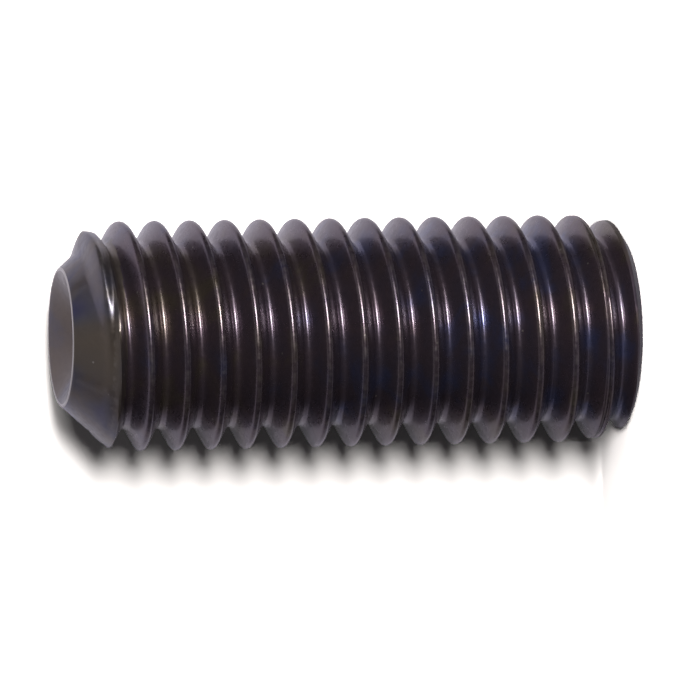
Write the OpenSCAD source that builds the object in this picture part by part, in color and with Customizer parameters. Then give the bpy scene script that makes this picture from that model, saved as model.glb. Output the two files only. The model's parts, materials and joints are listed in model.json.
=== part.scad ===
// Hexagon-socket set screw with a cup point, metric coarse thread, one solid.
// It stands on its flat socket end with the cup upwards. The screw's axis is Z,
// and the middle of the socket-end face is the origin.

/* [Thread] */
// Major diameter, over the crests
thread_d = 8; // [7:0.1:10]
// Distance from one crest to the next
thread_pitch = 1.25; // [1:0.05:1.5]
// Where the lowest crest crosses the +X side, in pitches above the socket end
thread_start = 0.31; // [0:0.01:0.99]
// Flat steps in one turn of the helix
turn_steps = 36; // [24:4:48]

/* [Body] */
// Overall length, from the socket end to the rim of the cup
screw_length = 20; // [12:0.5:30]
// Diameter of the flat face at the socket end
end_face_d = 6.6; // [6:0.1:6.9]
// Slope of the chamfer at the socket end, up from the face
end_chamfer_angle = 45; // [30:1:60]

/* [Socket] */
// Hexagon size across the flats
socket_af = 4; // [3:0.1:4.5]
// Depth of the hexagon, measured on its flats
socket_depth = 5; // [3:0.1:7]
// Full angle of the drilled cone below the hexagon
drill_angle = 120; // [90:1:140]
// Diameter of the countersink at the mouth of the socket
mouth_d = 4.9; // [4.7:0.05:5.5]
// Full angle of that countersink
mouth_angle = 90; // [60:1:120]

/* [Cup point] */
// Diameter of the cup at its rim
cup_d = 4.7; // [3.5:0.1:5.5]
// Width of the flat rim that is left around the cup
cup_rim_w = 0.05; // [0.02:0.01:0.3]
// Full angle of the cone hollowed out of the point
cup_angle = 120; // [90:1:130]
// Full angle of the cone around the outside of the point
point_angle = 84; // [60:1:120]

/* [Hidden] */
$fn = 96;

// A metric thread is a sharp V of 60 degrees, cut off at the crest and the root.
flank_angle = 30;
sharp_h = thread_pitch / 2 / tan(flank_angle);
major_r = thread_d / 2;
apex_r = major_r + sharp_h / 8;
root_r = major_r - 17 / 24 * sharp_h;

// The ridge's foot goes this far into the core, less than would meet the next turn.
ridge_sink = sharp_h / 12;
ridge_foot_r = root_r - ridge_sink;
ridge_foot_w = (apex_r - ridge_foot_r) * tan(flank_angle);

// Cutters reach this far past the faces they cut.
past = 1;

point_r = cup_d / 2 + cup_rim_w;
point_h = (major_r - point_r) / tan(point_angle / 2);
end_chamfer_h = (major_r - end_face_d / 2) * tan(end_chamfer_angle);
cup_depth = cup_d / 2 / tan(cup_angle / 2);
socket_corner_r = socket_af / 2 / cos(30);

// The ridge runs from one turn below the screw to one turn above it.
first_turn = -1;
last_turn = ceil(screw_length / thread_pitch) + 1;
ridge_steps = (last_turn - first_turn) * turn_steps;

// Section of the ridge as [radius, height] round its own crest, foot corners first and last
ridge_section = [
    [ridge_foot_r, -ridge_foot_w],
    [apex_r, 0],
    [ridge_foot_r, ridge_foot_w],
];

// The section's corners at one step along the helix, half a step off the X axis
function ridge_corners(step) =
    let (angle = 360 * (step + 0.5) / turn_steps,
         rise = thread_pitch * (angle / 360 + thread_start + first_turn))
    [for (corner = ridge_section)
        [corner.x * cos(angle), corner.x * sin(angle), rise + corner.y]];

// Two triangles for each side of the section between one step and the next
function ridge_sides(step) =
    let (n = len(ridge_section), base = step * n)
    [for (i = [0 : n - 1])
        let (here = base + i, beside = base + (i + 1) % n)
        each [[here, beside, here + n], [beside, beside + n, here + n]]];

// Right-hand helical ridge with a sharp crest
module thread_ridge() {
    n = len(ridge_section);
    start_cap = [for (i = [n - 1 : -1 : 0]) i];
    end_cap = [for (i = [0 : n - 1]) ridge_steps * n + i];
    points = [for (step = [0 : ridge_steps]) each ridge_corners(step)];
    sides = [for (step = [0 : ridge_steps - 1]) each ridge_sides(step)];
    polyhedron(points, concat([start_cap], sides, [end_cap]), convexity = 20);
}

// Turned outline that the thread is cut into: face, chamfer, crest and point
module blank() {
    rotate_extrude()
        polygon([
            [0, 0],
            [end_face_d / 2, 0],
            [major_r, end_chamfer_h],
            [major_r, screw_length - point_h],
            [point_r, screw_length],
            [0, screw_length],
        ]);
}

// Cylinder that the thread's root lies on, longer than the blank at both ends
module core() {
    translate([0, 0, -past])
        cylinder(r = root_r, h = screw_length + 2 * past);
}

// Hexagon, with the drilled cone under it and the countersink at its mouth
module socket() {
    translate([0, 0, -past])
        cylinder(r = socket_corner_r, h = socket_depth + past, $fn = 6);
    cone_r = socket_af / 2;
    translate([0, 0, socket_depth])
        cylinder(r1 = cone_r, r2 = 0, h = cone_r / tan(drill_angle / 2));
    mouth_r = mouth_d / 2;
    mouth_slope = tan(mouth_angle / 2);
    translate([0, 0, -past])
        cylinder(r1 = mouth_r + past * mouth_slope, r2 = 0, h = mouth_r / mouth_slope + past);
}

// Conical hollow of the cup point
module cup() {
    cup_slope = tan(cup_angle / 2);
    translate([0, 0, screw_length - cup_depth])
        cylinder(r1 = 0, r2 = cup_d / 2 + past * cup_slope, h = cup_depth + past);
}

module set_screw() {
    color("#2b2629")
        difference() {
            intersection() {
                blank();
                union() {
                    core();
                    thread_ridge();
                }
            }
            socket();
            cup();
        }
}

set_screw();
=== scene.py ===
"""Looks of a cup-point set screw in black-oxide steel, laid over its CAD frame.

Every size below is in millimetres and is turned to metres once, where a mesh or a lamp is made.
The screw stands on its socket end: its axis is Z, and the middle of the socket-end face is the origin.
"""

import json
import logging
import math
from dataclasses import dataclass, field
from enum import Enum
from typing import Any, Sequence

import bpy
import numpy as np
from mathutils import Matrix, Vector

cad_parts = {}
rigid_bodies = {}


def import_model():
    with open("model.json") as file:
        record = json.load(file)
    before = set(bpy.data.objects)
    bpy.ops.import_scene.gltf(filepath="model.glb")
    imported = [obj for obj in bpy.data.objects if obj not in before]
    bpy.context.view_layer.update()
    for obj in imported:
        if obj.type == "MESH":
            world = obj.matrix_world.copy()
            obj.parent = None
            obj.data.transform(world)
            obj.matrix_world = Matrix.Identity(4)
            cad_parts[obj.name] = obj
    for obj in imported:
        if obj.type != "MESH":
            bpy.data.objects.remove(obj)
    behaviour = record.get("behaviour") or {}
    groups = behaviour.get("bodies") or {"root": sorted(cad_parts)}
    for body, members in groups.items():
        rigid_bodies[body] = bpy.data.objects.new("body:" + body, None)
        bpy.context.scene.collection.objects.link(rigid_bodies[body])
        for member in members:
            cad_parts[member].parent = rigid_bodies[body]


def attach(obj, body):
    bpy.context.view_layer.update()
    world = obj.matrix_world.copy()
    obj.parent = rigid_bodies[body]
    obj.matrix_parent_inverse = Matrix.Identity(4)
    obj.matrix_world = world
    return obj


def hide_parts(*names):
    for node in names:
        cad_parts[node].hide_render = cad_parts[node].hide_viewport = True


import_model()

logging.basicConfig(level=logging.INFO, format="%(message)s")
log = logging.getLogger("set_screw")

MM = 0.001
TURN = 2.0 * math.pi


class Zone(Enum):
    """The ways in which the screw's surfaces were made, in the order of the mesh's materials."""

    ROLLED = 0
    TURNED = 1
    BROACHED = 2
    # The cup's rim: oxide rubbed off it, and a pale painted highlight along its edge.
    RIM_WEAR_AND_PAINTED_HIGHLIGHT = 3


def linear(hex_colour: str) -> tuple[float, float, float, float]:
    """Turn an sRGB hex colour to the linear values that a socket takes.

    Args:
        hex_colour: Colour as "#rrggbb".

    Returns:
        Red, green, blue and an alpha of 1.
    """
    parts = [int(hex_colour[i:i + 2], 16) / 255.0 for i in (1, 3, 5)]
    out = [c / 12.92 if c <= 0.04045 else ((c + 0.055) / 1.055) ** 2.4 for c in parts]
    return (out[0], out[1], out[2], 1.0)


def per_mm(size: float) -> float:
    """Give a pattern's scale, in cells per metre, from the real size of a cell in millimetres."""
    return 1.0 / (size * MM)


def add_node(tree: bpy.types.NodeTree, kind: str, settings: dict[str, Any] | None = None,
             inputs: dict[str | int, Any] | None = None,
             stops: Sequence[tuple[float, str]] = ()) -> bpy.types.Node:
    """Add a node, set its settings, and set or link its inputs.

    Args:
        tree: Node tree of a material or of the world.
        kind: Type of the node, as Blender names it.
        settings: Properties of the node and their values.
        inputs: Input sockets by name or number, each with a value or the output that feeds it.
        stops: Places and sRGB hex colours of a colour ramp.

    Returns:
        The new node.
    """
    node = tree.nodes.new(kind)
    for name, value in (settings or {}).items():
        setattr(node, name, value)
    for name, value in (inputs or {}).items():
        if isinstance(value, bpy.types.NodeSocket):
            tree.links.new(value, node.inputs[name])
        else:
            node.inputs[name].default_value = value
    for number, (place, colour) in enumerate(stops):
        ramp = node.color_ramp.elements
        stop = ramp[number] if number < len(ramp) else ramp.new(place)
        stop.position = place
        stop.color = linear(colour)
    return node


def soft_min(a: np.ndarray, b: np.ndarray, width: float) -> np.ndarray:
    """Take the lower of two surfaces, with a rounded corner where they cross.

    Args:
        a: Radii of the first surface.
        b: Radii of the second surface.
        width: How far from the crossing the corner is rounded, in mm.

    Returns:
        Radii of the joined surface.
    """
    h = np.clip(0.5 + 0.5 * (b - a) / width, 0.0, 1.0)
    return b + (a - b) * h - width * h * (1.0 - h)


def soft_max(a: np.ndarray, b: np.ndarray, width: float) -> np.ndarray:
    """Take the higher of two surfaces, with a rounded corner where they cross."""
    return -soft_min(-a, -b, width)


@dataclass(frozen=True)
class BlackOxide:
    """Black oxide on alloy steel, oiled: a thin layer of magnetite, grown in a hot salt bath.

    To the eye it is a semi-bright, nearly black metal. The layer is thin enough for faint blue, violet and straw
    tints, which show in the highlights. The oil on it adds a thin clear gloss.
    """

    name: str
    tints: tuple[str, ...]
    tint_size: float
    roughness_low: float
    roughness_high: float
    grain_round: float
    grain_across: float
    grain_height: float
    coat: float
    metallic: float = 0.82
    # How far the tint follows the screw's own drift of hue, and the part of the noise that the tints spread over.
    hue_pull: float = 0.22
    tint_from: float = 0.28
    tint_span: float = 0.44
    # Pits of the salt bath, and nicks, which only some cells of their pattern have.
    pit_size: float = 0.2
    speck_size: float = 0.55
    speck_above: float = 0.62
    crest_wear: float = 0.28
    worn_colour: str = "#8d8580"
    oil_roughness: float = 0.12
    oil_ior: float = 1.47

    def material(self) -> bpy.types.Material:
        """Build the finish's material.

        Returns:
            A node material with colour, roughness and bump patterns.
        """
        made = bpy.data.materials.new(self.name)
        made.use_nodes = True
        tree = made.node_tree
        tree.nodes.clear()
        place = add_node(tree, "ShaderNodeTexCoord").outputs["Object"]

        # The oxide's tint drifts over a few millimetres, as its thickness does.
        drift = add_node(tree, "ShaderNodeTexNoise", {"noise_dimensions": "3D"},
                         {"Vector": place, "Scale": per_mm(self.tint_size), "Detail": 3.0, "Roughness": 0.55,
                          "Distortion": 0.4})
        last = len(self.tints) - 1
        spread = [(self.tint_from + self.tint_span * n / last, colour) for n, colour in enumerate(self.tints)]
        hue = add_node(tree, "ShaderNodeAttribute", {"attribute_name": "hue"})
        mixed = add_node(tree, "ShaderNodeMath", {"operation": "MULTIPLY_ADD"},
                         {0: hue.outputs["Fac"], 1: self.hue_pull, 2: drift.outputs["Fac"]})
        tint = add_node(tree, "ShaderNodeValToRGB", {}, {"Fac": mixed.outputs["Value"]}, spread)

        # Forming and turning marks run round the axis: long along the turn and fine across it.
        along = add_node(tree, "ShaderNodeMapping", {},
                         {"Vector": place, "Scale": (per_mm(self.grain_round), per_mm(self.grain_round),
                                                     per_mm(self.grain_across))})
        marks = add_node(tree, "ShaderNodeTexNoise", {"noise_dimensions": "3D"},
                         {"Vector": along.outputs["Vector"], "Scale": 1.0, "Detail": 4.0, "Roughness": 0.6})
        pits = add_node(tree, "ShaderNodeTexNoise", {"noise_dimensions": "3D"},
                        {"Vector": place, "Scale": per_mm(self.pit_size), "Detail": 2.0, "Roughness": 0.5})

        # Small nicks and dust: sparse bright dots.
        cells = add_node(tree, "ShaderNodeTexVoronoi", {"feature": "F1"},
                         {"Vector": place, "Scale": per_mm(self.speck_size), "Randomness": 1.0})
        dot = add_node(tree, "ShaderNodeMapRange", {},
                       {"Value": cells.outputs["Distance"], "From Min": 0.03, "From Max": 0.1,
                        "To Min": 1.0, "To Max": 0.0})
        chosen = add_node(tree, "ShaderNodeMath", {"operation": "GREATER_THAN"},
                          {0: cells.outputs["Color"], 1: self.speck_above})
        speck = add_node(tree, "ShaderNodeMath", {"operation": "MULTIPLY"},
                         {0: dot.outputs["Result"], 1: chosen.outputs["Value"]})

        # Crests are rubbed a little: the oxide is thinner there.
        crest = add_node(tree, "ShaderNodeAttribute", {"attribute_name": "crest"})
        rubbed = add_node(tree, "ShaderNodeMapRange", {},
                          {"Value": pits.outputs["Fac"], "From Min": 0.42, "From Max": 0.68,
                           "To Min": 0.0, "To Max": self.crest_wear})
        wear = add_node(tree, "ShaderNodeMath", {"operation": "MULTIPLY"},
                        {0: crest.outputs["Fac"], 1: rubbed.outputs["Result"]})
        bare = add_node(tree, "ShaderNodeMath", {"operation": "MAXIMUM"},
                        {0: wear.outputs["Value"], 1: speck.outputs["Value"]})
        colour = add_node(tree, "ShaderNodeMix", {"data_type": "RGBA"},
                          {0: bare.outputs["Value"], 6: tint.outputs["Color"], 7: linear(self.worn_colour)})

        rough = add_node(tree, "ShaderNodeMapRange", {},
                         {"Value": pits.outputs["Fac"], "From Min": 0.3, "From Max": 0.7,
                          "To Min": self.roughness_low, "To Max": self.roughness_high})
        scratch = add_node(tree, "ShaderNodeBump", {},
                           {"Height": marks.outputs["Fac"], "Strength": 1.0, "Distance": self.grain_height * MM})
        relief = add_node(tree, "ShaderNodeBump", {},
                          {"Height": pits.outputs["Fac"], "Strength": 1.0, "Distance": 0.5 * self.grain_height * MM,
                           "Normal": scratch.outputs["Normal"]})
        # The paper's matt bounce sees the screw as dark, so that no glints lighten the contact shadow.
        ray = add_node(tree, "ShaderNodeLightPath").outputs
        shown = add_node(tree, "ShaderNodeMix", {"data_type": "RGBA"},
                         {0: ray["Is Diffuse Ray"], 6: colour.outputs[2], 7: linear("#000000")})
        surface = add_node(tree, "ShaderNodeBsdfPrincipled", {},
                           {"Base Color": shown.outputs[2], "Metallic": self.metallic,
                            "Roughness": rough.outputs["Result"], "Normal": relief.outputs["Normal"],
                            "Coat Weight": self.coat, "Coat Roughness": self.oil_roughness,
                            "Coat IOR": self.oil_ior})
        add_node(tree, "ShaderNodeOutputMaterial", {}, {"Surface": surface.outputs["BSDF"]})
        return made


@dataclass(frozen=True)
class RolledThread:
    """Rolled metric thread: a 60 degree V with the rounded crest and root that the dies leave."""

    pitch: float = 1.25
    major_r: float = 4.0
    crest_r: float = 3.998
    root_round: float = 0.18
    start: float = 0.31
    flank_angle: float = 30.0
    # Half the height that the close rows on a crest and in a root take up.
    crest_rows: float = 0.165
    root_rows: float = 0.17

    @property
    def apex_r(self) -> float:
        """Radius of the sharp V's apex."""
        return self.major_r + self.sharp_h / 8.0

    @property
    def sharp_h(self) -> float:
        """Height of the sharp V."""
        return self.pitch / 2.0 / math.tan(math.radians(self.flank_angle))

    @property
    def crest_round(self) -> float:
        """Radius of the rounded crest, which brings the sharp apex down to the real crest."""
        return self.apex_r - self.crest_r

    def radius(self, offset: np.ndarray) -> np.ndarray:
        """Give the thread's radius at an axial distance from the nearest crest.

        Args:
            offset: Axial distances from the nearest crest, in mm.

        Returns:
            Radii in mm.
        """
        away = np.abs(offset)
        inner = self.pitch / 2.0 - away
        top, root = self.crest_round, self.root_round
        steep = math.radians(90.0 - self.flank_angle)
        flank = self.apex_r - away * math.tan(steep)
        crest = self.apex_r - 2.0 * top + np.sqrt(np.maximum(top * top - away * away, 0.0))
        foot = self.apex_r - self.sharp_h + 2.0 * root - np.sqrt(np.maximum(root * root - inner * inner, 0.0))
        r = np.where(away <= top * math.sin(steep), crest, flank)
        return np.where(inner <= root * math.sin(steep), foot, r)

    def row_offsets(self) -> np.ndarray:
        """Give one pitch of row heights, closest together on the crest and in the root.

        Returns:
            Axial distances above a crest, from 0 to just under one pitch, in mm.
        """
        foot = self.pitch / 2.0 - self.root_rows
        up = np.concatenate([
            np.linspace(0.0, self.crest_rows, 6)[:-1],
            np.linspace(self.crest_rows, foot, 6)[:-1],
            np.linspace(foot, self.pitch / 2.0, 5)[:-1],
        ])
        down = self.pitch - up[1:][::-1]
        return np.concatenate([up, [self.pitch / 2.0], down])

    def crest_offset(self, turn: np.ndarray, z: np.ndarray) -> np.ndarray:
        """Give the signed axial distance from the nearest crest.

        Args:
            turn: Angles round the axis, in turns from the +X side.
            z: Heights above the socket end, in mm.

        Returns:
            Distances in mm, from minus to plus half a pitch.
        """
        u = z / self.pitch - turn - self.start
        return (u - np.round(u)) * self.pitch


@dataclass
class ScrewBody:
    """The whole screw: rolled thread, turned point with its cup, chamfered end and broached hexagon."""

    thread: RolledThread = field(default_factory=RolledThread)
    length: float = 20.0
    columns: int = 180
    end_face_r: float = 3.35
    end_rim_round: float = 0.07
    # The chamfer is a little off centre and steep, as rolling pushes the end out over it.
    end_shift: float = 0.11
    end_slope: float = 1.5
    point_half_angle: float = 42.0
    cup_r: float = 2.32
    cup_rim_w: float = 0.08
    cup_half_angle: float = 60.0
    socket_af: float = 4.0
    socket_depth: float = 5.0
    socket_edge: float = 0.05
    mouth_r: float = 2.45
    drill_half_angle: float = 60.0
    corner_blend: float = 0.05
    ridge_blend: float = 0.25
    # How steeply the ridge at the point falls towards the cup: most where rolling left a lip, on the +X side.
    lip_z: tuple[float, ...] = (18.6, 18.85, 18.97, 19.1, 19.2)
    lip_fall: tuple[float, ...] = (2.0, 4.0, 5.0, 8.0, 9.8)
    lip_back: tuple[float, ...] = (5.0, 5.0, 4.0, 0.6, 0.6)
    # Height of the crest where rolling did not fill it, against the crest's own height on the axis.
    point_crest_z: tuple[float, ...] = (17.6, 18.2, 18.55, 18.75, 18.83, 18.9, 18.97,
                                        19.05, 19.14, 19.19, 19.25, 19.32, 19.42)
    point_crest_r: tuple[float, ...] = (3.998, 3.97, 3.5, 3.3, 3.35, 3.55, 3.7,
                                        3.66, 3.68, 3.43, 3.08, 2.9, 2.3)
    end_crest_z: tuple[float, ...] = (0.0, 0.39, 0.62, 1.0, 1.35, 1.7)
    end_crest_r: tuple[float, ...] = (3.7, 3.785, 3.68, 3.88, 3.95, 3.998)
    # The fold that rolling leaves in the last turn's crest.
    fold_z: tuple[float, ...] = (0.4, 0.75, 1.55, 2.05)
    fold_depth: tuple[float, ...] = (0.0, 0.07, 0.07, 0.0)
    fold_half_w: float = 0.028
    cap_blend: float = 0.03
    no_cap_r: float = 9.0
    # The outside's rows of points stop this far under the cup's rim, and this far from the rings next to them.
    head_drop: float = 0.1
    row_gap: float = 0.008
    sharp_angle: float = 38.0
    # A crest is rubbed within this distance of its middle, and only outside this radius.
    rub_half_w: float = 0.16
    rub_from_r: float = 3.5
    # The oxide's drift of hue, from blue below 0 to straw above 0. The crests' and the roots' own drifts are
    # strongest at the socket end and fade out up to end_hue_z, in mm.
    end_hue_z: float = 14.0
    end_hue_crest: float = 0.4
    end_hue_root: float = -0.6
    root_depth: float = 0.7
    # Patches on the cone: place and spread round the axis, in turns from the camera's side, and drift.
    cone_patches: tuple[tuple[float, float, float], ...] = (
        (0.055, 0.035, -0.9), (-0.03, 0.07, 0.7), (-0.14, 0.05, -0.5))
    cone_from_z: float = 18.4
    cup_hue: float = 0.6
    verts: list[np.ndarray] = field(default_factory=list, repr=False)
    faces: list[tuple[int, ...]] = field(default_factory=list, repr=False)
    zones: list[int] = field(default_factory=list, repr=False)
    count: int = 0

    @property
    def end_turn(self) -> float:
        """Angle by which the surface turns over the rounded edge of the end face, in radians."""
        return math.pi / 2.0 - math.atan(self.end_slope)

    def outer_radius(self, turn: np.ndarray, z: np.ndarray) -> np.ndarray:
        """Give the radius of the screw's outside at an angle and a height.

        Args:
            turn: Angles in turns from the +X side.
            z: Heights above the socket end, in mm.

        Returns:
            Radii in mm.
        """
        off = self.thread.crest_offset(turn, z)
        own_z = z - off
        form = self.thread.radius(off)
        cone = self.cup_r + self.cup_rim_w + (self.length - z) * math.tan(math.radians(self.point_half_angle))
        raised = np.interp(own_z, self.point_crest_z, self.point_crest_r)
        fall = np.where(off > 0.0, np.interp(own_z, self.lip_z, self.lip_fall),
                        np.interp(own_z, self.lip_z, self.lip_back))
        ridge = raised - fall * off * off
        point = soft_max(cone, ridge, self.ridge_blend)
        chamfer = self.end_face_r - self.end_shift * np.cos(turn * TURN) + z * self.end_slope
        cap = np.interp(own_z, self.end_crest_z, self.end_crest_r)
        cap = np.where(own_z > self.end_crest_z[-1], self.no_cap_r, cap)
        r = soft_min(form, point, self.corner_blend)
        r = soft_min(r, chamfer, self.corner_blend)
        r = soft_min(r, cap, self.cap_blend)
        depth = np.interp(own_z, self.fold_z, self.fold_depth, left=0.0, right=0.0)
        return r - depth * np.exp(-(off / self.fold_half_w) ** 2)

    def hexagon_radius(self, turn: np.ndarray) -> np.ndarray:
        """Give the hexagon's radius, with its corners at 0, 60, 120 degrees and so on."""
        sector = (turn * 6.0) % 1.0 - 0.5
        return self.socket_af / 2.0 / np.cos(sector * TURN / 6.0)

    def add_points(self, turn: np.ndarray, r: np.ndarray, z: np.ndarray) -> np.ndarray:
        """Add points given by angle, radius and height.

        Args:
            turn: Angles in turns.
            r: Radii in mm.
            z: Heights in mm.

        Returns:
            The numbers of the new points.
        """
        angle = turn * TURN
        self.verts.append(np.stack([r * np.cos(angle), r * np.sin(angle), z + 0.0 * r], axis=-1).reshape(-1, 3))
        numbers = np.arange(self.count, self.count + r.size).reshape(r.shape)
        self.count += r.size
        return numbers

    def add_face(self, corners: Sequence[int], zone: Zone) -> None:
        """Add one face of a zone."""
        self.faces.append(tuple(int(c) for c in corners))
        self.zones.append(zone.value)

    def ring(self, r: np.ndarray | float, z: np.ndarray | float) -> np.ndarray:
        """Add one closed ring of points.

        Args:
            r: One radius, or one for each column, in mm.
            z: One height, or one for each column, in mm.

        Returns:
            The numbers of the ring's points.
        """
        turn = np.arange(self.columns) / self.columns
        return self.add_points(turn, np.zeros(self.columns) + r, np.zeros(self.columns) + z)

    def span(self, lower: np.ndarray, upper: np.ndarray, zone: Zone) -> None:
        """Join two rings, of which the first comes first along the outline from the socket to the cup.

        Args:
            lower: Numbers of the first ring's points.
            upper: Numbers of the second ring's points.
            zone: Zone of the new faces.
        """
        for j in range(self.columns):
            k = (j + 1) % self.columns
            self.add_face((lower[j], lower[k], upper[k], upper[j]), zone)

    def cap(self, rim: np.ndarray, z: float, zone: Zone, first: bool) -> None:
        """Close a ring with a fan to a point on the axis.

        Args:
            rim: Numbers of the ring's points.
            z: Height of the point on the axis, in mm.
            zone: Zone of the new faces.
            first: Whether the point comes before the ring along the outline.
        """
        tip = self.add_points(np.zeros(1), np.zeros(1), np.array([z]))[0]
        for j in range(self.columns):
            k = (j + 1) % self.columns
            self.add_face((rim[k], rim[j], tip) if first else (rim[j], rim[k], tip), zone)

    def build_socket(self) -> np.ndarray:
        """Build the socket from its drilled bottom to the mouth, and the flat end face round it.

        Returns:
            The ring at the foot of the end chamfer.
        """
        turn = np.arange(self.columns) / self.columns
        hexagon = self.hexagon_radius(turn)
        flat = self.socket_af / 2.0
        apex = self.socket_depth + flat / math.tan(math.radians(self.drill_half_angle))
        rings: list[tuple[np.ndarray | float, np.ndarray | float, Zone]] = []
        for part in (0.25, 0.5, 0.75, 1.0):
            rings.append((flat * part, apex + (self.socket_depth - apex) * part, Zone.BROACHED))
        rings.append((np.maximum(hexagon - self.socket_edge, flat), self.socket_depth, Zone.BROACHED))
        rings.append((hexagon, self.socket_depth - self.socket_edge * (hexagon > flat), Zone.BROACHED))
        meet = self.mouth_r - hexagon
        for part in (0.75, 0.5, 0.25, 0.06, 0.0):
            rings.append((hexagon, meet + (self.socket_depth - self.socket_edge - meet) * part, Zone.BROACHED))
        rings.append((hexagon + 0.5 * meet, 0.5 * meet, Zone.BROACHED))
        rings.append((hexagon + 0.9 * meet, 0.1 * meet, Zone.BROACHED))
        rings.append((self.mouth_r + 0.03, 0.0, Zone.TURNED))
        for part in (0.3, 0.6, 0.85):
            rings.append((self.mouth_r + (self.end_face_r - self.mouth_r) * part, 0.0, Zone.TURNED))
        previous = None
        for r, z, zone in rings:
            here = self.ring(r, z)
            if previous is None:
                self.cap(here, apex, zone, True)
            else:
                self.span(previous, here, zone)
            previous = here
        return previous

    def build_end_rim(self, face: np.ndarray) -> np.ndarray:
        """Round the edge between the end face and its chamfer.

        Args:
            face: Ring on the flat face, near its edge.

        Returns:
            The ring where the threaded outside starts.
        """
        turn = np.arange(self.columns) / self.columns
        full = self.end_turn
        back = self.end_rim_round * math.tan(full / 2.0)
        edge = self.end_face_r - self.end_shift * np.cos(turn * TURN)
        previous = face
        for part in (0.0, 0.25, 0.5, 0.75, 1.0):
            r = edge - back + self.end_rim_round * math.sin(full * part)
            z = self.end_rim_round * (1.0 - math.cos(full * part))
            low = self.outer_radius(turn, np.full(self.columns, z))
            here = self.ring(np.minimum(r, low), z)
            self.span(previous, here, Zone.TURNED)
            previous = here
        return previous

    def build_outside(self, foot: np.ndarray, foot_z: float, head_z: float) -> np.ndarray:
        """Build the threaded outside on rows that follow the helix, so that crests and roots stay smooth.

        Args:
            foot: Ring below the first rows.
            foot_z: Height of that ring, in mm.
            head_z: Height of the ring above the last rows, in mm.

        Returns:
            The ring above the last rows.
        """
        thread, n = self.thread, self.columns
        pattern, k = thread.row_offsets(), len(thread.row_offsets())
        first_turn = -2
        turns = int(math.ceil(self.length / thread.pitch)) + 4
        heights = np.concatenate([pattern + (first_turn + t) * thread.pitch for t in range(turns)])
        turn = np.arange(n) / n
        z = heights[:, None] + (turn[None, :] + thread.start) * thread.pitch
        inside = (z > foot_z + self.row_gap) & (z < head_z - self.row_gap)
        low = inside.argmax(axis=0)
        high = len(heights) - 1 - inside[::-1].argmax(axis=0)
        numbers = np.full(z.shape, -1)
        r = self.outer_radius(np.broadcast_to(turn, z.shape), z)
        numbers[inside] = self.add_points(np.broadcast_to(turn, z.shape)[inside], r[inside], z[inside])
        head = self.ring(self.outer_radius(turn, np.full(n, head_z)), head_z)
        cone_z = self.length - (thread.major_r - self.cup_r) / math.tan(math.radians(self.point_half_angle))
        for j in range(n):
            m = (j + 1) % n
            lift = k if m == 0 else 0
            a0, a1, b0, b1 = low[j], high[j], low[m] - lift, high[m] - lift
            for i in range(max(a0, b0), min(a1, b1)):
                zone = Zone.TURNED if z[i, j] > cone_z + 0.1 else Zone.ROLLED
                self.add_face((numbers[i, j], numbers[i + lift, m],
                               numbers[i + 1 + lift, m], numbers[i + 1, j]), zone)
            self.add_face((foot[j], foot[m], numbers[b0 + lift, m], numbers[a0, j])
                          if a0 == b0 else (foot[j], foot[m], numbers[b0 + lift, m]), Zone.ROLLED)
            if a0 > b0:
                self.add_face((foot[j], numbers[b0 + lift, m], numbers[a0 + lift, m], numbers[a0, j]), Zone.ROLLED)
            self.add_face((numbers[a1, j], numbers[b1 + lift, m], head[m], head[j])
                          if a1 == b1 else (numbers[a1, j], head[m], head[j]), Zone.TURNED)
            if a1 > b1:
                self.add_face((numbers[b1, j], numbers[b1 + lift, m], head[m], numbers[a1, j]), Zone.TURNED)
        return head

    def build_cup(self, head: np.ndarray) -> None:
        """Round the cup's rim and hollow the cup.

        Args:
            head: Ring at the top of the threaded outside.
        """
        previous = head
        edge = self.cup_r + self.cup_rim_w
        slope = math.tan(math.radians(self.point_half_angle))
        deep = self.cup_r / math.tan(math.radians(self.cup_half_angle))
        outer = [(edge + 0.03 * slope, self.length - 0.03), (edge + 0.008, self.length - 0.014),
                 (edge - 0.006, self.length - 0.003), (edge - 0.022, self.length),
                 (self.cup_r + 0.014, self.length), (self.cup_r - 0.004, self.length - 0.008)]
        # The rim's rings get the pale rim finish: a painted highlight along the edge, and worn oxide.
        for number, (r, z) in enumerate(outer):
            here = self.ring(r, z)
            self.span(previous, here, Zone.TURNED if number == 0 else Zone.RIM_WEAR_AND_PAINTED_HIGHLIGHT)
            previous = here
        for part in (0.985, 0.9, 0.75, 0.6, 0.45, 0.3, 0.15, 0.05):
            here = self.ring(self.cup_r * part, self.length - deep * (1.0 - part))
            self.span(previous, here, Zone.TURNED)
            previous = here
        self.cap(previous, self.length - deep, Zone.TURNED, False)

    def oxide_hue(self, turn: np.ndarray, r: np.ndarray, z: np.ndarray) -> np.ndarray:
        """Give the drift of the oxide's tint over the whole screw, from blue below 0 to straw above 0.

        Args:
            turn: Angles in turns from the +X side.
            r: Radii in mm.
            z: Heights above the socket end, in mm.

        Returns:
            Drift from -1 to 1: blue roots and straw crests near the socket end, blue and straw patches on the cone,
            and a straw cup.
        """
        side = (turn + 0.25 + 0.5) % 1.0 - 0.5
        depth = np.clip((self.thread.major_r - r) / self.root_depth, 0.0, 1.0)
        fade = np.clip(1.0 - z / self.end_hue_z, 0.0, 1.0)
        along = fade * (self.end_hue_crest + (self.end_hue_root - self.end_hue_crest) * depth)
        # The end face's rim and the roots near the point lean to straw.
        along = along + 0.5 * np.clip(1.2 - z, 0.0, 1.0) + 0.4 * depth * np.clip((z - 13.0) / 3.0, 0.0, 1.0)
        on_cone = np.clip((z - self.cone_from_z) / 0.4, 0.0, 1.0)
        patches = sum(drift * np.exp(-((side - place) / spread) ** 2) for place, spread, drift in self.cone_patches)
        outside = along * (1.0 - on_cone) + patches * on_cone
        in_cup = (r < self.cup_r) & (z > self.length - 2.0)
        return np.clip(np.where(in_cup, self.cup_hue, outside), -1.0, 1.0)

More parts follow.
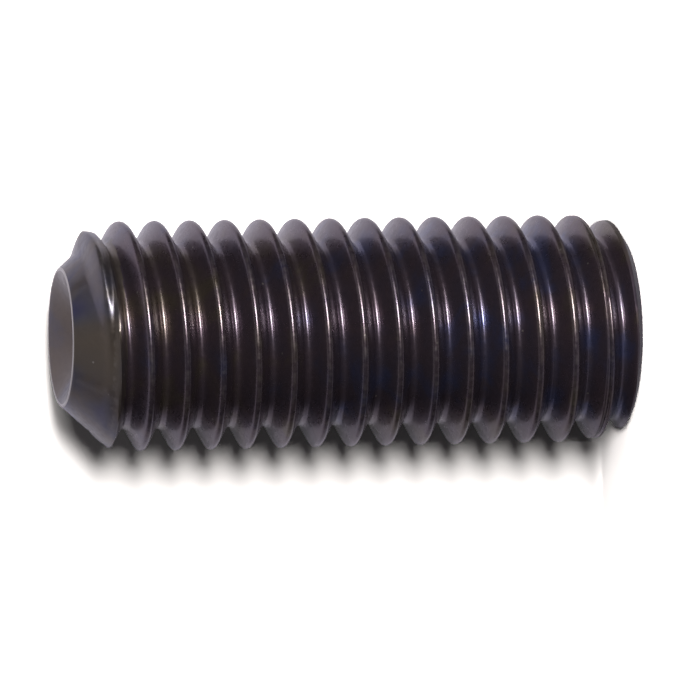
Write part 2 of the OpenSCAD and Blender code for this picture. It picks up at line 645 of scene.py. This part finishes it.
    def build(self) -> bpy.types.Object:
        """Build the screw's mesh as one closed skin.

        Returns:
            The screw's object.
        """
        rim = self.build_end_rim(self.build_socket())
        rim_z = self.end_rim_round * (1.0 - math.cos(self.end_turn))
        self.build_cup(self.build_outside(rim, rim_z, self.length - self.head_drop))
        points = np.concatenate(self.verts)
        mesh = bpy.data.meshes.new("set_screw_body")
        mesh.from_pydata((points * MM).tolist(), [], self.faces)
        mesh.update()
        mesh.polygons.foreach_set("material_index", np.array(self.zones, dtype=np.int32))
        mesh.polygons.foreach_set("use_smooth", np.ones(len(self.faces), dtype=bool))
        mesh.set_sharp_from_angle(angle=math.radians(self.sharp_angle))
        turn = np.arctan2(points[:, 1], points[:, 0]) / TURN
        off = self.thread.crest_offset(turn, points[:, 2])
        r = np.hypot(points[:, 0], points[:, 1])
        crest = np.clip(1.0 - np.abs(off) / self.rub_half_w, 0.0, 1.0) * (r > self.rub_from_r)
        for name, values in (("crest", crest), ("hue", self.oxide_hue(turn, r, points[:, 2]))):
            mesh.attributes.new(name, "FLOAT", "POINT").data.foreach_set("value", values.astype(np.float32))
        mesh.validate()
        made = bpy.data.objects.new("set_screw_body", mesh)
        bpy.context.scene.collection.objects.link(made)
        return made

    def dress(self, made: bpy.types.Object) -> None:
        """Give each zone of the screw its finish.

        Args:
            made: The screw's object.
        """
        rolled = BlackOxide("rolled_black_oxide", ("#494a66", "#504752", "#564950", "#5c524a"), tint_size=2.2,
                            roughness_low=0.26, roughness_high=0.36, grain_round=1.6, grain_across=0.08,
                            grain_height=0.0009, coat=0.3)
        turned = BlackOxide("turned_black_oxide", ("#403f5c", "#524f58", "#5b534f", "#60564e"), tint_size=2.4,
                            roughness_low=0.3, roughness_high=0.42, grain_round=1.2, grain_across=0.05,
                            grain_height=0.0012, coat=0.3)
        broached = BlackOxide("broached_black_oxide", ("#434657", "#4a434b", "#544b49"), tint_size=1.8,
                              roughness_low=0.28, roughness_high=0.42, grain_round=0.12, grain_across=1.4,
                              grain_height=0.002, coat=0.25)
        # The cup's rim is pale: a painted highlight along its edge, and oxide rubbed off there.
        rubbed = BlackOxide("rim_wear_and_painted_highlight", ("#a09b9a", "#aeaaa7"), tint_size=0.8,
                            roughness_low=0.3, roughness_high=0.42, grain_round=0.6, grain_across=0.05,
                            grain_height=0.001, coat=0.2)
        for finish in (rolled, turned, broached, rubbed):
            made.data.materials.append(finish.material())


@dataclass(frozen=True)
class MattPaper:
    """White photographic paper, matt and overexposed, so that the eye sees only the shadows on it.

    The camera's rays see it a few times brighter than white, which clips to white, and a sheet that lies flat more
    so than one that stands. The screw's reflections see a painted pool of light round the screw instead: there,
    and above a given height, the paper is painted pale, with a faint painted glow, while elsewhere, and for
    bounced light, it is painted dark. Each pool has the radii in mm where it starts and ends to fade, on the +X
    side and on the -X side. From behind, the paper can be looked through.
    """

    name: str
    gain: float
    flat_gain: float
    # Painted pool of light and painted brightness above a height, which only the screw's reflections see: radii on
    # the +X side, the height, and radii on the -X side, all in mm.
    painted_pool: tuple[float, float]
    painted_bright_above: float
    low_painted_pool: tuple[float, float]
    # Strength of the painted glow in that pool, though the paper is no lamp.
    glow: float = 0.1
    # How fast a bent sheet turns from the standing gain to the flat one: a power of its normal's Z.
    flat_power: float = 22.0
    # Painted reflection colours: pale and faintly blue-violet inside the pool, and dark painted shade outside it and
    # for bounced light.
    colour: str = "#c7c2cf"
    tone: str = "#fffaf7"
    unlit: str = "#2c2a2c"

    def material(self) -> bpy.types.Material:
        """Build the paper's material.

        Returns:
            A node material for a sheet of the stage.
        """
        made = bpy.data.materials.new(self.name)
        made.use_nodes = True
        tree = made.node_tree
        tree.nodes.clear()
        ray = add_node(tree, "ShaderNodeLightPath").outputs
        side = add_node(tree, "ShaderNodeNewGeometry").outputs
        flat = add_node(tree, "ShaderNodeVectorMath", {"operation": "MULTIPLY"},
                        {0: side["Position"], 1: (1.0, 1.0, 0.0)})
        reach = add_node(tree, "ShaderNodeVectorMath", {"operation": "LENGTH"}, {0: flat.outputs[0]})
        height = add_node(tree, "ShaderNodeSeparateXYZ", {}, {0: side["Position"]})
        # Painted pool of light round the screw, with other radii on the -X side, and painted brightness above a
        # height.
        below = add_node(tree, "ShaderNodeMath", {"operation": "LESS_THAN"}, {0: height.outputs["X"], 1: 0.0})
        starts, ends = [add_node(tree, "ShaderNodeMapRange", {}, {"Value": below.outputs[0], "To Min": high * MM,
                                                                  "To Max": low * MM})
                        for high, low in zip(self.painted_pool, self.low_painted_pool)]
        painted_pool = add_node(tree, "ShaderNodeMapRange", {"interpolation_type": "SMOOTHSTEP"},
                        {"Value": reach.outputs["Value"], "From Min": starts.outputs["Result"],
                         "From Max": ends.outputs["Result"], "To Min": 1.0, "To Max": 0.0})
        high = add_node(tree, "ShaderNodeMapRange", {"interpolation_type": "SMOOTHSTEP"},
                        {"Value": height.outputs["Z"], "From Min": self.painted_bright_above * MM,
                         "From Max": (self.painted_bright_above + 3.0) * MM, "To Min": 0.0, "To Max": 1.0})
        painted_light_mask = add_node(tree, "ShaderNodeMath", {"operation": "MAXIMUM"},
                       {0: painted_pool.outputs["Result"], 1: high.outputs["Result"]})
        # Only mirrored rays that have not bounced off a matt surface see the painted pool.
        mirrored = add_node(tree, "ShaderNodeMath", {"operation": "MAXIMUM"},
                            {0: ray["Is Glossy Ray"], 1: ray["Is Transmission Ray"]})
        straight = add_node(tree, "ShaderNodeMath", {"operation": "LESS_THAN"}, {0: ray["Diffuse Depth"], 1: 0.5})
        viewed = add_node(tree, "ShaderNodeMath", {"operation": "MULTIPLY"},
                          {0: mirrored.outputs[0], 1: straight.outputs[0]})
        near = add_node(tree, "ShaderNodeMath", {"operation": "MULTIPLY"}, {0: viewed.outputs[0], 1: painted_light_mask.outputs[0]})
        # A faint painted glow in the pool.
        strength = add_node(tree, "ShaderNodeMath", {"operation": "MULTIPLY"}, {0: near.outputs[0], 1: self.glow})
        # Painted shade: outside the pool, and for bounced light, the paper shows its dark unlit colour.
        shade = add_node(tree, "ShaderNodeMix", {"data_type": "RGBA"},
                         {0: near.outputs[0], 6: linear(self.unlit), 7: linear(self.colour)})
        upright, flat_lit = [tuple(gain * part for part in linear(self.tone)[:3]) + (1.0,)
                             for gain in (self.gain, self.flat_gain)]
        level = add_node(tree, "ShaderNodeSeparateXYZ", {}, {0: side["Normal"]})
        lying = add_node(tree, "ShaderNodeMath", {"operation": "POWER"}, {0: level.outputs["Z"], 1: self.flat_power})
        seen = add_node(tree, "ShaderNodeMix", {"data_type": "RGBA"}, {0: lying.outputs[0], 6: upright, 7: flat_lit})
        shown = add_node(tree, "ShaderNodeMix", {"data_type": "RGBA"},
                         {0: ray["Is Camera Ray"], 6: shade.outputs[2], 7: seen.outputs[2]})
        matt = add_node(tree, "ShaderNodeBsdfDiffuse", {}, {"Color": shown.outputs[2]})
        light = add_node(tree, "ShaderNodeEmission", {}, {"Strength": strength.outputs[0]})
        both = add_node(tree, "ShaderNodeAddShader", {}, {0: matt.outputs[0], 1: light.outputs[0]})
        clear = add_node(tree, "ShaderNodeBsdfTransparent")
        one_side = add_node(tree, "ShaderNodeMixShader", {},
                            {0: side["Backfacing"], 1: both.outputs[0], 2: clear.outputs[0]})
        add_node(tree, "ShaderNodeOutputMaterial", {}, {"Surface": one_side.outputs[0]})
        return made


@dataclass
class PaleStage:
    """Plain pale floor, a pale card behind the screw that takes its contact shadow, and a cove between them."""

    floor_half: float = 110.0
    card_half: float = 40.0
    card_height: float = 150.0
    card_y: float = 4.01
    cove_r: float = 1.5
    cove_x: tuple[float, float] = (-30.0, -4.05)
    cove_steps: int = 24
    floor_paper: MattPaper = MattPaper("floor_paper", gain=3.7, flat_gain=3.7, painted_pool=(5.0, 14.0),
                                       painted_bright_above=200.0, low_painted_pool=(5.0, 14.0))
    card_paper: MattPaper = MattPaper("card_paper", gain=1.45, flat_gain=3.7, painted_pool=(13.5, 14.5),
                                      painted_bright_above=45.0, low_painted_pool=(-6.0, 34.0))

    def sheet(self, name: str, x: tuple[float, float], profile: Sequence[tuple[float, float]],
              paper: MattPaper) -> bpy.types.Object:
        """Make one sheet of paper that runs along X.

        Args:
            name: Name of the sheet.
            x: Its two ends in mm.
            profile: Its Y and Z in mm, from the front to the back.
            paper: Its finish.

        Returns:
            The sheet's object.
        """
        mesh = bpy.data.meshes.new(name)
        points = [(end * MM, y * MM, z * MM) for y, z in profile for end in x]
        mesh.from_pydata(points, [], [(2 * n, 2 * n + 1, 2 * n + 3, 2 * n + 2) for n in range(len(profile) - 1)])
        mesh.update()
        mesh.polygons.foreach_set("use_smooth", np.ones(len(mesh.polygons), dtype=bool))
        mesh.materials.append(paper.material())
        made = bpy.data.objects.new(name, mesh)
        bpy.context.scene.collection.objects.link(made)
        return made

    def build(self) -> list[bpy.types.Object]:
        """Lay the floor, stand the card behind the screw, and bend the cove between them.

        Returns:
            The floor, the card and the cove.
        """
        f, c, y, top = self.floor_half, self.card_half, self.card_y, self.card_height
        # The cove joins the card to the floor where the shadow crosses from one to the other.
        bends = np.linspace(0.0, math.pi / 2.0, self.cove_steps + 1).tolist()
        arc = [(y - self.cove_r * (1.0 - math.sin(a)), self.cove_r * (1.0 - math.cos(a))) for a in bends]
        floor = self.sheet("floor", (-f, f), [(-f, 0.0), (f, 0.0)], self.floor_paper)
        card = self.sheet("card", (-c, c), [(y, 0.0), (y, top)], self.card_paper)
        cove = self.sheet("cove", self.cove_x, arc, self.card_paper)
        return [floor, card, cove]


@dataclass
class Softbox:
    """One rectangular softbox that looks at the middle of the screw."""

    name: str
    azimuth: float
    elevation: float
    distance: float
    wide: float
    tall: float
    radiance: float
    tone: str = "#ffffff"
    aim: tuple[float, float, float] = (0.0, 0.0, 10.0)

    def build(self) -> bpy.types.Object:
        """Make the lamp.

        Returns:
            The lamp's object.
        """
        a, e = math.radians(self.azimuth), math.radians(self.elevation)
        out = Vector((math.sin(a) * math.cos(e), -math.cos(a) * math.cos(e), math.sin(e)))
        lamp = bpy.data.lights.new(self.name, "AREA")
        lamp.shape = "RECTANGLE"
        lamp.size, lamp.size_y = self.wide * MM, self.tall * MM
        lamp.energy = self.radiance * math.pi * lamp.size * lamp.size_y
        lamp.color = linear(self.tone)[:3]
        made = bpy.data.objects.new(self.name, lamp)
        made.location = (Vector(self.aim) + out * self.distance) * MM
        made.rotation_euler = out.to_track_quat("Z", "Y").to_euler()
        bpy.context.scene.collection.objects.link(made)
        return made


@dataclass
class Studio:
    """The softboxes and the dim room round them."""

    room: str = "#2e2d30"
    backdrop: str = "#ffffff"

    def softboxes(self) -> list[Softbox]:
        """List the lamps.

        Returns:
            The key by the camera, a weaker one beside it, one overhead, and one behind for the far side.
        """
        return [
            Softbox("key", azimuth=17.0, elevation=8.0, distance=260.0, wide=90.0, tall=48.0, radiance=62.5),
            Softbox("side", azimuth=34.0, elevation=20.0, distance=250.0, wide=120.0, tall=50.0, radiance=6.0),
            Softbox("ceiling", azimuth=0.0, elevation=78.0, distance=240.0, wide=400.0, tall=90.0, radiance=0.32),
            Softbox("back", azimuth=155.0, elevation=35.0, distance=260.0, wide=200.0, tall=80.0, radiance=5.0),
        ]

    def build(self) -> None:
        """Place the lamps and set the world."""
        for box in self.softboxes():
            box.build()
            log.info("lamp %s: radiance %.1f", box.name, box.radiance)
        world = bpy.data.worlds.new("room")
        bpy.context.scene.world = world
        world.use_nodes = True
        tree = world.node_tree
        tree.nodes.clear()
        ray = add_node(tree, "ShaderNodeLightPath").outputs
        shade = add_node(tree, "ShaderNodeMix", {"data_type": "RGBA"},
                         {0: ray["Is Camera Ray"], 6: linear(self.room), 7: linear(self.backdrop)})
        glow = add_node(tree, "ShaderNodeBackground", {}, {"Color": shade.outputs[2], "Strength": 1.0})
        add_node(tree, "ShaderNodeOutputWorld", {}, {"Surface": glow.outputs[0]})


@dataclass
class PhotoCamera:
    """The photograph's camera, fitted by least squares to the screw's outline.

    The photograph's left is the screw's +Z, and its top is +X.
    """

    elevation: float = 12.736
    roll: float = -1.071
    distance: float = 248.76
    target: tuple[float, float, float] = (-0.626, 0.0, 9.717)
    focal_px: float = 7109.28
    frame_px: float = 700.0
    sensor: float = 36.0

    def build(self) -> bpy.types.Object:
        """Place the camera and make it the scene's.

        Returns:
            The camera's object.
        """
        e, t = math.radians(self.elevation), math.radians(self.roll)
        back = Vector((0.0, -math.cos(e), math.sin(e)))
        level = -Vector((0.0, math.sin(e), math.cos(e)))
        right = math.cos(t) * level + math.sin(t) * Vector((1.0, 0.0, 0.0))
        up = -math.sin(t) * level + math.cos(t) * Vector((1.0, 0.0, 0.0))
        eye = (Vector(self.target) + back * self.distance) * MM
        data = bpy.data.cameras.new("photo_camera")
        data.sensor_fit = "HORIZONTAL"
        data.sensor_width = self.sensor
        data.lens = self.sensor * self.focal_px / self.frame_px
        data.clip_start, data.clip_end = 0.005, 10.0
        made = bpy.data.objects.new("photo_camera", data)
        made.matrix_world = Matrix((
            (right.x, up.x, back.x, eye.x),
            (right.y, up.y, back.y, eye.y),
            (right.z, up.z, back.z, eye.z),
            (0.0, 0.0, 0.0, 1.0)))
        bpy.context.scene.collection.objects.link(made)
        bpy.context.scene.camera = made
        return made


def main() -> None:
    """Build the screw, its stage, its lamps and its camera."""
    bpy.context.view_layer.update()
    screw = ScrewBody()
    body = screw.build()
    screw.dress(body)
    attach(body, "root")
    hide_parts("set_screw")
    log.info("set_screw_body: %d points, %d faces", len(body.data.vertices), len(body.data.polygons))
    for sheet in PaleStage().build():
        log.info("stage: %s", sheet.name)
    Studio().build()
    PhotoCamera().build()
    bpy.context.scene.view_settings.view_transform = "Standard"


if __name__ == "__main__":
    main()
